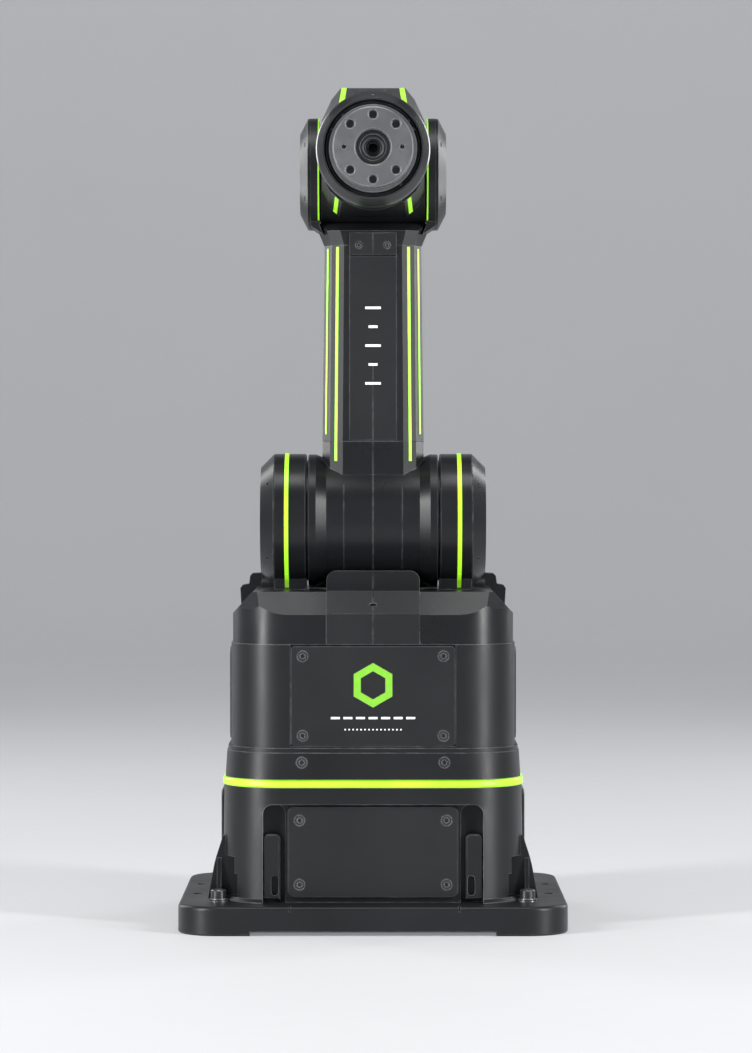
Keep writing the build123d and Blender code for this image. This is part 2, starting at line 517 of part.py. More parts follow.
def led_groove(outside):
    """Ring around a drum, stopped just above the deck."""
    ring = rod_x(outside, LED_X0, LED_X1, SHOULDER_Z)
    ring -= rod_x(DRUM_R - LED_DEEP, LED_X0 - 1, LED_X1 + 1, SHOULDER_Z)
    return ring & block(LED_X0 - 5, LED_X1 + 5, -60, 60, DECK_Z + 0.8, 330)


def shoulder_drum(side):
    drum = turned_x([(DRUM_X0, 0), (DRUM_X0, DRUM_R - 0.8), (DRUM_X0 + 0.8, DRUM_R),
                     (DRUM_X1, DRUM_R), (DRUM_X1, 0)], SHOULDER_Z)
    drum += block(DRUM_X0, DRUM_X1, -PEDESTAL_Y, PEDESTAL_Y, DECK_Z, PEDESTAL_TOP)
    drum -= rod_x(SPIGOT_R + SPIGOT_FIT, DRUM_X0 - 1, DRUM_X0 + SOCKET_X, SHOULDER_Z)
    drum -= rod_x(LABYRINTH_R + LABYRINTH_FIT, DRUM_X0 - 1, DRUM_X0 + LABYRINTH_X, SHOULDER_Z)
    drum -= rod_x(36, DRUM_X0 + SOCKET_X, DRUM_X1 + 1, SHOULDER_Z)
    drum -= led_groove(DRUM_R + 40)
    return drum if side > 0 else mirrored(drum)


def shoulder_led_rings():
    ring = led_groove(DRUM_R + 0.4)
    for angle in (38, 142):                           # joints between the light segments
        ring -= Pos(57.5, 0, SHOULDER_Z) * Rot(angle, 0, 0) * Pos(0, 0, DRUM_R + 1) * Box(6, 0.8, 2.4)
    return group(both_sides(max(ring.solids(), key=lambda s: s.volume)))


def cap_spots(x_face, radius, count, start=0):
    spots = []
    for n in range(count):
        angle = math.radians(start + 360 / count * n)
        for s in (-1, 1):
            spots.append((s, x_face, radius * math.cos(angle), radius * math.sin(angle)))
    return spots


SHOULDER_CAP_SPOTS = [((s * (x - SINK), y, SHOULDER_Z + z), (s, 0, 0))
                      for s, x, y, z in cap_spots(DRUM_CAP, 27.0, 6, 30)]
ELBOW_CAP_SPOTS = [((s * (x - SINK), y, ELBOW_Z + z), (s, 0, 0))
                   for s, x, y, z in cap_spots(EAR_CAP, 19.5, 4, 45)]


def shoulder_end_caps():
    cap = turned_x([(DRUM_X1, 0), (DRUM_X1, DRUM_R - 0.6), (DRUM_X1 + 0.5, DRUM_R - 0.1),
                    (DRUM_CAP - 8.9, DRUM_R - 0.1), (DRUM_CAP, DRUM_R - 9.0), (DRUM_CAP, 33.5),
                    (DRUM_CAP - 0.8, 33.1), (DRUM_CAP - 0.8, 32.3), (DRUM_CAP, 31.9), (DRUM_CAP, 16),
                    (DRUM_CAP - 1.4, 15), (DRUM_CAP - 1.4, 0)], SHOULDER_Z)
    cap -= block(60, 90, -60, 60, 200, DECK_Z + 0.4)
    for angle in (20, 52, 128, 160, 200, 340):
        pit = Pos(70.6, 0, SHOULDER_Z) * Rot(angle, 0, 0) * Pos(0, 0, DRUM_R - 4.3) * Rot(0, 45, 0)
        cap -= pit * Cylinder(0.9, 2.0)
    cap = cut_all(cap, at_spots(screw_room(*M3), SHOULDER_CAP_SPOTS))
    return group(both_sides(cap))


def shoulder_cap_screws():
    return group(at_spots(screw(*M3), SHOULDER_CAP_SPOTS))


def j2_motor():
    body = rod_x(30, 51, 64, SHOULDER_Z)
    return mirrored(body - rod_x(6, 50, 66, SHOULDER_Z))


def j2_reducer():
    return rod_x(35.5, 51, 60, SHOULDER_Z) + rod_x(28, 60, 65, SHOULDER_Z)


def emblem_ring():
    """Plain geometric mark: a hexagon ring."""
    hexagon = RegularPolygon(14.5, 6, rotation=30) - RegularPolygon(9.3, 6, rotation=30)
    return extrude(Plane.XZ.offset(TURRET_PANEL + INK_PROUD - 1.0) * Pos(0, 161.5) * hexagon, 1.0)


def dash_row():
    """A row of plain dashes with a row of small squares under it."""
    y = TURRET_PANEL + INK_PROUD
    solids = []
    for n in range(-3, 4):
        solids.append(block(8.2 * n - 2.9, 8.2 * n + 2.9, -y, -y + 1.0, 139.4, 140.8))
    for n in range(-7, 8):
        solids.append(block(2.6 * n - 0.45, 2.6 * n + 0.45, -y, -y + 1.0, 132.1, 133.0))
    return solids


def turret_emblem():
    return emblem_ring()


def turret_dashes():
    return group(dash_row())


def turret_screws():
    return group(at_spots(screw(*M4_SHORT), TURRET_FRONT_SPOTS + TURRET_REAR_SPOTS
                          + TURRET_SIDE_SPOTS + SKIRT_SPOTS))


# ---- upper arm ----------------------------------------------------------------------------
def arm_outline(scale, section=ARM_SECTION):
    quadrant = [(x * scale, y * scale) for x, y in section]
    right = [(x, -y) for x, y in quadrant] + list(reversed(quadrant))
    left = [(-x, y) for x, y in reversed(right)]
    return right + left


def arm_face(z, scale=None, section=ARM_SECTION):
    k = arm_scale(z) if scale is None else scale
    return (Plane.XY.offset(z) * Polygon(*arm_outline(k, section), align=None)).face()


def arm_scale(z):
    return 1 + (ARM_TAPER - 1) * (z - ARM_Z0) / (ARM_Z1 - ARM_Z0)


def facet_bar(z0, z1, facet, along, sx, sy):
    """Light strip lying in a facet of the arm between two heights."""
    (xa, ya), (xb, yb) = ARM_SECTION[facet], ARM_SECTION[facet + 1]
    x, y = xa + (xb - xa) * along, ya + (yb - ya) * along
    normal = Vector(sx * (ya - yb), sy * (xb - xa), 0).normalized()
    ends = [Vector(sx * x * arm_scale(z), sy * y * arm_scale(z), z) for z in (z0, z1)]
    return bar(ends[0], ends[1], normal, STRIP_W, STRIP_T, STRIP_PROUD)


def bar(start, end, normal, width, thickness, proud):
    run = end - start
    across = normal.cross(run).normalized()
    outward = run.cross(across).normalized()
    middle = (start + end) * 0.5 + outward * (proud - thickness / 2)
    place = Plane(origin=middle, x_dir=run.normalized(), z_dir=outward)
    piece = place.location * Box(run.length, width, thickness)
    return piece


def arm_strips():
    strips = []
    for sx in (-1, 1):
        for sy in (-1, 1):
            strips.append(facet_bar(308, 451, 0, 0.52, sx, sy))
            strips.append(facet_bar(326, 450, 1, 0.50, sx, sy))
    return strips


def arm_led_strips():
    return group(arm_strips())


def shoulder_barrel():
    lip_x, spigot_x = DRUM_X0 + LABYRINTH_X - 0.5, DRUM_X0 + SOCKET_X - 0.4
    half = [(0, BARREL_R), (31.2, BARREL_R), (38.2, BARREL_COLLAR_R), (BARREL_X - 0.6, BARREL_COLLAR_R),
            (BARREL_X, BARREL_COLLAR_R - 0.6), (BARREL_X, LABYRINTH_R), (lip_x, LABYRINTH_R),
            (lip_x, SPIGOT_R), (spigot_x, SPIGOT_R), (spigot_x, 0)]
    profile = [(-x, r) for x, r in reversed(half[1:])] + half[1:]
    body = turned_x(profile, SHOULDER_Z)
    body += loft([arm_face(SHOULDER_Z, 1.0), arm_face(ARM_Z0, 1.0)])
    body -= rod_x(33, -37, 37, SHOULDER_Z)
    body -= block(-22, 22, -18, 18, SHOULDER_Z, ARM_Z0 + 1)
    seam = rod_x(BARREL_R + 5, -0.3, 0.3, SHOULDER_Z) - rod_x(BARREL_R - 0.4, -1, 1, SHOULDER_Z)
    body -= seam & block(-1, 1, -60, 60, 200, 298)
    for x in (-19.5, 19.5):
        line = rod_x(BARREL_R + 5, x - 0.2, x + 0.2, SHOULDER_Z)
        line -= rod_x(BARREL_R - 0.25, x - 1, x + 1, SHOULDER_Z)
        body -= line & block(x - 2, x + 2, -60, 60, 200, 292)
    for s in (-1, 1):                                 # the seam carries on up the root
        body -= Pos(0, s * 28.3, (296 + ARM_Z0 + 1) / 2) * Box(0.6, 1.4, ARM_Z0 + 1 - 296)
    return cut_all(body, arm_strips())


def arm_panel_plane(z):
    return ARM_SECTION[0][1] * arm_scale(z)


def arm_panel(z0, z1, proud, deep):
    """Front panel following the arm's taper; the rear one is its mirror."""
    outline = [(-arm_panel_plane(z0) - proud, z0), (-arm_panel_plane(z0) + deep, z0),
               (-arm_panel_plane(z1) + deep, z1), (-arm_panel_plane(z1) - proud, z1)]
    return prism_x(outline, -COVER_X, COVER_X)


def arm_shell():
    body = loft([arm_face(ARM_Z0), arm_face(ARM_Z1)])
    body -= loft([arm_face(ARM_Z0 - 1, BORE_LOW), arm_face(ARM_Z1 + 1, BORE_HIGH)])
    edge = body.edges().filter_by_position(Axis.Z, ARM_Z0 - 0.01, ARM_Z0 + 0.01)
    body = chamfer([e for e in edge if outer_edge(e)], 0.35)
    pocket = arm_panel(ARM_Z0 + 0.6, ARM_Z1 + 1, 3, COVER_DEEP)
    body = cut_all(body, [pocket, mirror(pocket, about=Plane.XZ)])
    body = cut_all(body, arm_strips())
    return cut_all(body, at_spots(screw_room(*M3_CLIP), ARM_CLIP_SPOTS))


def outer_edge(edge):
    """True for the arm section's outer outline, false for the bore."""
    middle = edge.center()
    return abs(middle.Y) > 27.5 or abs(middle.X) > 23.5


def arm_cover(toward):
    cover = arm_panel(ARM_Z0 + 1.0, COVER_Z1, COVER_PROUD, COVER_DEEP)
    cover = chamfer(cover.faces().sort_by(Axis.Y)[0].edges(), 0.35)
    cover -= block(-0.25, 0.25, -32, -26, ARM_Z0, 372)
    if toward > 0:
        return mirror(cover, about=Plane.XZ)
    return cut_all(cover, mark_solids())


def mark_solids():
    """Column of plain dashes down the front cover."""
    solids = []
    for n in range(5):
        z = 359 + 12.6 * n
        width = 5.2 if n % 2 == 0 else 3.0
        y = arm_panel_plane(z) + COVER_PROUD + INK_PROUD
        solids.append(block(-width, width, -y, -y + 1.2, z, z + 1.6))
    return solids


def arm_marks():
    return group(mark_solids())


def arm_clip_plates():
    plate = block(-COVER_X, COVER_X, -CLIP_Y, -CLIP_Y + CLIP_T, COVER_Z1 + 0.5, CLIP_TOP - 0.2)
    plate = chamfer(plate.faces().sort_by(Axis.Y)[0].edges(), 0.35)
    plate -= block(-0.25, 0.25, -32, -27.7, COVER_Z1, 460)
    plates = [plate, mirror(plate, about=Plane.XZ)]
    return group(cut_all(p, at_spots(screw_room(*M3_CLIP), ARM_CLIP_SPOTS)) for p in plates)


def arm_screws():
    return group(at_spots(screw(*M3_CLIP), ARM_CLIP_SPOTS))


def elbow_yoke():
    middle = arm_face(YOKE_SHOULDER, 1.0, YOKE_SECTION)
    body = loft([arm_face(ARM_Z1), middle], ruled=True)
    body += loft([middle, arm_face(YOKE_TOP, 1.0, YOKE_TOP_SECTION)], ruled=True)
    web = [(33.0, 459.5), (36.6, YOKE_SHOULDER), (EAR_X1, 465.5), (EAR_X1, ELBOW_Z),
           (EAR_X0, ELBOW_Z), (EAR_X0, 466.0)]
    ear = prism_y(web, -19, 19) + rod_x(EAR_R, EAR_X0, EAR_X1, ELBOW_Z)
    for piece in both_sides(ear):
        body += piece
    body -= rod_x(YOKE_CLEAR, -EAR_X0, EAR_X0, ELBOW_Z)
    body -= rod_x(EAR_LIP_R + 0.4, -EAR_X0 - 1.3, EAR_X0 + 1.3, ELBOW_Z)
    for piece in both_sides(rod_x(PIVOT_R + SPIGOT_FIT, EAR_X0 - 1, EAR_X1 + 1, ELBOW_Z)):
        body -= piece
    pocket = block(-COVER_X, COVER_X, -CLIP_Y - 3, -CLIP_Y + CLIP_T, COVER_Z1, CLIP_TOP)
    body = cut_all(body, [pocket, mirror(pocket, about=Plane.XZ)])
    body -= block(-16, 16, -14, 14, ARM_Z1 - 1, 457)
    for groove in both_sides(elbow_ring()):
        body -= groove
    return cut_all(body, at_spots(screw_room(*M3_CLIP), ARM_CLIP_SPOTS))


def elbow_ring():
    """Thin light ring let into the inner rim of an ear, open where the web joins it."""
    ring = rod_x(EAR_R + 0.1, EAR_X0, EAR_X0 + EAR_LED_T, ELBOW_Z)
    ring -= rod_x(EAR_R - EAR_LED_DEEP, EAR_X0 - 1, EAR_X0 + EAR_LED_T + 1, ELBOW_Z)
    ring -= block(30, 50, -20, 20, 455, 480)
    return max(ring.solids(), key=lambda s: s.volume)


def elbow_led_rings():
    return group(both_sides(elbow_ring()))


def elbow_end_caps():
    cap = turned_x([(EAR_X1, 0), (EAR_X1, EAR_R - 0.5), (EAR_X1 + 0.4, EAR_R - 0.1), (43.6, EAR_R - 0.1),
                    (EAR_CAP, 27.2), (EAR_CAP, 24.6), (EAR_CAP - 0.7, 24.2), (EAR_CAP - 0.7, 23.6),
                    (EAR_CAP, 23.2), (EAR_CAP, 12), (EAR_CAP - 1.0, 11.2), (EAR_CAP - 1.0, 0)], ELBOW_Z)
    for angle in (58, 122, 238, 302):
        notch = Pos(46.4, 0, ELBOW_Z) * Rot(angle, 0, 0) * Pos(0, 0, 33.6) * Rot(0, 27, 0)
        cap -= notch * Box(3.4, 4.2, 1.0)
    cap = cut_all(cap, at_spots(screw_room(*M3), ELBOW_CAP_SPOTS))
    return group(both_sides(cap))


def elbow_cap_screws():
    return group(at_spots(screw(*M3), ELBOW_CAP_SPOTS))


# ---- forearm ------------------------------------------------------------------------------
def head_section(out):
    t = (out - HEAD_REAR) / (HEAD_END - HEAD_REAR)
    return [(xa + (xb - xa) * t, za + (zb - za) * t)
            for (xa, za), (xb, zb) in zip(HEAD_REAR_SECTION, HEAD_FRONT_SECTION)]


def head_face(out, section=None):
    right = head_section(out) if section is None else section
    outline = right + [(-x, z) for x, z in reversed(right)]
    plane = Plane(origin=(0, -out, ELBOW_Z), x_dir=(1, 0, 0), z_dir=(0, -1, 0))
    return (plane * Polygon(*outline, align=None)).face()


def head_point(out, facet, along, sx):
    section = head_section(out)
    (xa, za), (xb, zb) = section[facet], section[facet + 1]
    return Vector(sx * (xa + (xb - xa) * along), -out, ELBOW_Z + za + (zb - za) * along)


def head_bar(out0, out1, facet, along, sx, width):
    start, end = head_point(out0, facet, along, sx), head_point(out1, facet, along, sx)
    other = head_point(out0, facet, along + 0.3, sx)
    normal = (end - start).cross(other - start).normalized()
    if normal.Z * (ELBOW_Z - start.Z) > 0:
        normal = normal * -1
    return bar(start, end, normal, width, STRIP_T, STRIP_PROUD)


def top_bar(out0, out1, inset, sx, width):
    """Strip along the outer edge of the head's top face."""
    ends = []
    for out in (out0, out1):
        x, z = head_section(out)[0]
        ends.append(Vector(sx * (x - inset), -out, ELBOW_Z + z))
    return bar(ends[0], ends[1], top_slope(), width, STRIP_T, STRIP_PROUD)


def head_strips():
    strips = []
    for sx in (-1, 1):
        strips.append(top_bar(HEAD_REAR + 1.5, HEAD_END - 4, 2.3, sx, 3.4))
        strips.append(head_bar(24, 94, 4, 0.62, sx, 3.0))
    return strips


def forearm_led_strips():
    return group(head_strips())


def forearm_head():
    body = turned_x([(-NECK_X, 0), (-NECK_X, NECK_R - 0.6), (-NECK_X + 0.6, NECK_R), (NECK_X - 0.6, NECK_R),
                     (NECK_X, NECK_R - 0.6), (NECK_X, 0)], ELBOW_Z)
    body += rod_x(EAR_LIP_R, -NECK_X - 1.2, NECK_X + 1.2, ELBOW_Z)
    body += loft([head_face(HEAD_REAR), head_face(HEAD_END)], ruled=True)
    body += loft([head_face(HEAD_BACK, HEAD_BACK_SECTION), head_face(HEAD_REAR)], ruled=True)
    body += rod_x(PIVOT_R, -EAR_X1 + 0.4, EAR_X1 - 0.4, ELBOW_Z)
    body -= rod_x(26.5, -28, 28, ELBOW_Z)
    body -= rod_y(ROLL_MOTOR_R + 0.5, ROLL_MOTOR_AT - 1, 92)
    body -= rod_y(ROLL_GEAR_R + 0.5, ROLL_GEAR_AT - 2, 92)
    body -= rod_y(SPIGOT_R + SPIGOT_FIT, 85, HEAD_END + 1)
    body -= head_top_cover_solid(RUN_GAP, 6.0)
    body = cut_all(body, head_strips())
    return cut_all(body, at_spots(screw_room(*M3_CLIP), HEAD_TOP_SPOTS))


def head_top_line(out):
    return head_section(out)[0][1]


def head_top_cover_solid(grow, proud):
    outline = []
    for out, lift in ((TOP_OUT0 - grow, proud), (TOP_OUT1 + grow, proud),
                      (TOP_OUT1 + grow, -TOP_DEEP), (TOP_OUT0 - grow, -TOP_DEEP)):
        outline.append((-out, ELBOW_Z + head_top_line(out) + lift))
    return prism_x(outline, -TOP_X - grow, TOP_X + grow)


def top_slope():
    rise = HEAD_REAR_SECTION[0][1] - HEAD_FRONT_SECTION[0][1]
    return Vector(0, -rise, HEAD_END - HEAD_REAR).normalized()


HEAD_TOP_SPOTS = [((x, -out, ELBOW_Z + head_top_line(out) + 0.1), tuple(top_slope()))
                  for x in (-8, 8) for out in (32, 86)]


def forearm_top_cover():
    cover = chamfer(head_top_cover_solid(0, 0.45).faces().sort_by(Axis.Z)[-1].edges(), 0.3)
    return cut_all(cover, at_spots(screw_room(*M3_CLIP), HEAD_TOP_SPOTS))


def forearm_screws():
    return group(at_spots(screw(*M3_CLIP), HEAD_TOP_SPOTS))


def j3_motor():
    return rod_x(26, -27, 27, ELBOW_Z)


def j4_motor():
    return rod_y(ROLL_MOTOR_R, ROLL_MOTOR_AT, ROLL_GEAR_AT) + rod_y(ROLL_GEAR_R, ROLL_GEAR_AT, 84)


# ---- wrist --------------------------------------------------------------------------------
def wrist_fork():
    tube = turned_y([(HEAD_END + ROLL_GAP, 0), (HEAD_END + ROLL_GAP, TUBE_R + 1.0), (106, TUBE_R + 1.0),
                     (107.5, TUBE_R), (TUBE_END, TUBE_R), (TUBE_END + 2, TUBE_R - 2), (TUBE_END + 2, 0)])
    tube += rod_y(SPIGOT_R, 88, HEAD_END + ROLL_GAP)
    body = tube + wrist_cheek() + mirrored(wrist_cheek())
    body -= rod_y(20.5, HEAD_END + 4, 130)
    body -= rod_x(WRIST_NECK_R + 0.9, -CHEEK_X0, CHEEK_X0, ELBOW_Z, -PITCH_AT)
    for piece in both_sides(rod_x(PIN_R + SPIGOT_FIT, CHEEK_X0 - 1, CHEEK_X1 + 1, ELBOW_Z, -PITCH_AT)):
        body -= piece
    for piece in both_sides(rod_x(17.5, CHEEK_X1 - 2.0, CHEEK_X1 + 1, ELBOW_Z, -PITCH_AT)):
        body -= piece
    return body


def wrist_cheek():
    """One arm of the fork, trimmed to the tube's round outline."""
    disc = rod_x(CHEEK_R, CHEEK_X0, CHEEK_X1, ELBOW_Z, -PITCH_AT)
    web = block(CHEEK_X0, CHEEK_X1, -PITCH_AT, -130, ELBOW_Z - 22, ELBOW_Z + 22)
    return (disc + web) & rod_y(TUBE_R + 2, 120, 200)


def wrist_pivot_covers():
    cover = rod_x(17.2, CHEEK_X1 - 2.0, CHEEK_X1 + 0.8, ELBOW_Z, -PITCH_AT)
    cover = chamfer(cover.faces().sort_by(Axis.X)[-1].edges(), 0.6)
    for angle in (45, 135, 225, 315):
        y = -PITCH_AT + 13 * math.cos(math.radians(angle))
        z = ELBOW_Z + 13 * math.sin(math.radians(angle))
        cover -= rod_x(1.2, CHEEK_X1 - 0.4, CHEEK_X1 + 2, z, y)
    return group(both_sides(cover))


def j5_motor():
    return rod_y(20, HEAD_END + 5, 127)


def wrist_housing():
    neck = rod_x(WRIST_NECK_R, -WRIST_NECK_X, WRIST_NECK_X, ELBOW_Z, -PITCH_AT)
    neck += block(-WRIST_NECK_X, WRIST_NECK_X, -RING_AT - 1, -PITCH_AT, ELBOW_Z - 21, ELBOW_Z + 21)
    neck += rod_x(PIN_R, -CHEEK_X1 + 2.2, CHEEK_X1 - 2.2, ELBOW_Z, -PITCH_AT)
    plinth = FLANGE_BACK - 0.5                        # stops short of the flange's back
    dish = turned_y([(RING_AT, 0), (RING_AT, 31.5), (RING_AT + 3.5, RING_R), (BEZEL_AT, RING_R),
                     (BEZEL_AT, BEZEL_IN), (plinth, BEZEL_IN), (plinth, 0)])
    body = neck + dish
    body -= rod_y(21, 202, plinth - 2)
    return body - rod_y(HUB6_R + SPIGOT_FIT, BEZEL_AT, plinth + 1)


def wrist_bezel():
    """Glossy ring around the flange."""
    return turned_y([(BEZEL_AT, BEZEL_IN), (BEZEL_AT, RING_R), (212.5, RING_R), (214.2, RING_R - 0.7),
                     (RING_FRONT - 2.2, LIP_R + 1.6), (RING_FRONT, LIP_R), (RING_FRONT, LIP_R - 1.0),
                     (214.5, BEZEL_IN)])


def j6_motor():
    ring = rod_y(20.5, 202.5, 206.5) + rod_y(12, 206.5, 207)
    return ring - rod_y(6.5, 200, 210)


def tool_flange():
    step = FLANGE_AT - 1.6
    pilot = FLANGE_FACE - PILOT_H
    body = turned_y([(FLANGE_BACK, 0), (FLANGE_BACK, FLANGE_RIM_R), (step, FLANGE_RIM_R), (step, FLANGE_R),
                     (FLANGE_FACE - 0.7, FLANGE_R), (FLANGE_FACE, FLANGE_R - 0.7), (FLANGE_FACE, 0)])
    body += rod_y(HUB6_R, 208, FLANGE_BACK)
    body -= turned_y([(200, 0), (200, HOLLOW_R), (pilot - 3, HOLLOW_R), (pilot - 3, PILOT_STEP_R),
                      (pilot, PILOT_STEP_R), (pilot, PILOT_R), (FLANGE_FACE - 0.6, PILOT_R),
                      (FLANGE_FACE, PILOT_R + 0.6), (FLANGE_FACE + 1, PILOT_R + 0.6),
                      (FLANGE_FACE + 1, 0)])
    for angle in (45, 90, 135, 225, 270, 315):
        x = FLANGE_PCD / 2 * math.cos(math.radians(angle))
        z = ELBOW_Z + FLANGE_PCD / 2 * math.sin(math.radians(angle))
        body -= rod_y(FLANGE_TAP_R, FLANGE_FACE - TAP_DEPTH, FLANGE_FACE + 1, x, z)
        sink = Plane(origin=(x, -FLANGE_FACE, z), z_dir=(0, -1, 0)).location
        body -= sink * Pos(0, 0, -TAP_SINK / 2) * Cone(FLANGE_TAP_R, FLANGE_TAP_R + TAP_SINK, TAP_SINK)
    for s in (-1, 1):
        body -= rod_y(DOWEL_R, FLANGE_FACE - DOWEL_DEPTH, FLANGE_FACE + 1, s * DOWEL_AT)
    return body


# ---- write every sub-part -----------------------------------------------------------------
PARTS = {
    "base_plate": base_plate, "base_housing": base_housing, "base_front_cover": base_front_cover,
    "base_channel_blocks": base_channel_blocks, "base_side_covers": base_side_covers,
    "base_rear_panel": base_rear_panel, "power_inlet": power_inlet, "data_socket": data_socket,
    "corner_bolts": corner_bolts, "corner_washers": corner_washers,
    "base_screws": base_screws, "base_led_ring": base_led_ring, "j1_motor": j1_motor,
    "j1_reducer": j1_reducer, "controller_board": controller_board,
    "turret_skirt": turret_skirt, "j1_output_hub": j1_output_hub, "turret_housing": turret_housing,
    "turret_front_panel": turret_front_panel, "turret_rear_cover": turret_rear_cover,
    "turret_side_covers": turret_side_covers, "turret_cap": turret_cap,
    "turret_tongue_cover": turret_tongue_cover, "shoulder_saddle": shoulder_saddle,
    "turret_rear_cheeks": turret_rear_cheeks, "turret_screws": turret_screws,
    "turret_emblem": turret_emblem, "turret_dashes": turret_dashes,
    "shoulder_drum_left": lambda: shoulder_drum(-1), "shoulder_drum_right": lambda: shoulder_drum(1),
    "shoulder_end_caps": shoulder_end_caps, "shoulder_led_rings": shoulder_led_rings,
    "shoulder_cap_screws": shoulder_cap_screws, "j2_motor": j2_motor, "j2_reducer": j2_reducer,
    "shoulder_barrel": shoulder_barrel, "arm_shell": arm_shell,
    "arm_front_cover": lambda: arm_cover(-1), "arm_rear_cover": lambda: arm_cover(1),
    "arm_clip_plates": arm_clip_plates, "arm_led_strips": arm_led_strips, "arm_marks": arm_marks,
    "arm_screws": arm_screws, "elbow_yoke": elbow_yoke, "elbow_end_caps": elbow_end_caps,
    "elbow_led_rings": elbow_led_rings, "elbow_cap_screws": elbow_cap_screws,
    "forearm_head": forearm_head, "forearm_top_cover": forearm_top_cover,
    "forearm_led_strips": forearm_led_strips, "forearm_screws": forearm_screws,
    "j3_motor": j3_motor, "j4_motor": j4_motor,
    "wrist_fork": wrist_fork, "wrist_pivot_covers": wrist_pivot_covers, "j5_motor": j5_motor,
    "wrist_housing": wrist_housing, "wrist_bezel": wrist_bezel, "j6_motor": j6_motor,
    "tool_flange": tool_flange,
}

os.makedirs("parts", exist_ok=True)
for name, make in PARTS.items():
    export_step(make(), "parts/" + name + ".step")
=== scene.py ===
import bmesh
import bpy
import json
import math
from mathutils import Matrix, Vector


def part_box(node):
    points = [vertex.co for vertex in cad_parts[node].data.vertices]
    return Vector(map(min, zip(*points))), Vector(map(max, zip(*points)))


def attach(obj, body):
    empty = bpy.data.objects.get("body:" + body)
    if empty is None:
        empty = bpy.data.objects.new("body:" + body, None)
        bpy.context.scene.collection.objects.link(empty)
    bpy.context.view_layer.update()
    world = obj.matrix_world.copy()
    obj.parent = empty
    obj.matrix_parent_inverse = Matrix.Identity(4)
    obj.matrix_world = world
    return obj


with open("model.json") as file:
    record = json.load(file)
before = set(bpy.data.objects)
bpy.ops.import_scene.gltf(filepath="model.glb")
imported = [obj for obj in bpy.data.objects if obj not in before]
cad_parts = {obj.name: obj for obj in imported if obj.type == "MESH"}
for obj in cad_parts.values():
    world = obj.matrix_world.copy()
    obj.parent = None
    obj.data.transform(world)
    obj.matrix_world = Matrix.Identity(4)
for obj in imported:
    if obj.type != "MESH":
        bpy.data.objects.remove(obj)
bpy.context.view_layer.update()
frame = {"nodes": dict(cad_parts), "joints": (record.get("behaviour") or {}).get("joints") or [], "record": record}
NODES = frame["nodes"]
JOINTS = {j["name"]: j for j in frame["joints"]}
MM = 0.001

# ---- places taken from the frame ----------------------------------------------------------
FOREARM_Z = JOINTS["j3_elbow_tilt"]["pos_m"][2]          # the wrist and flange are in line with the elbow


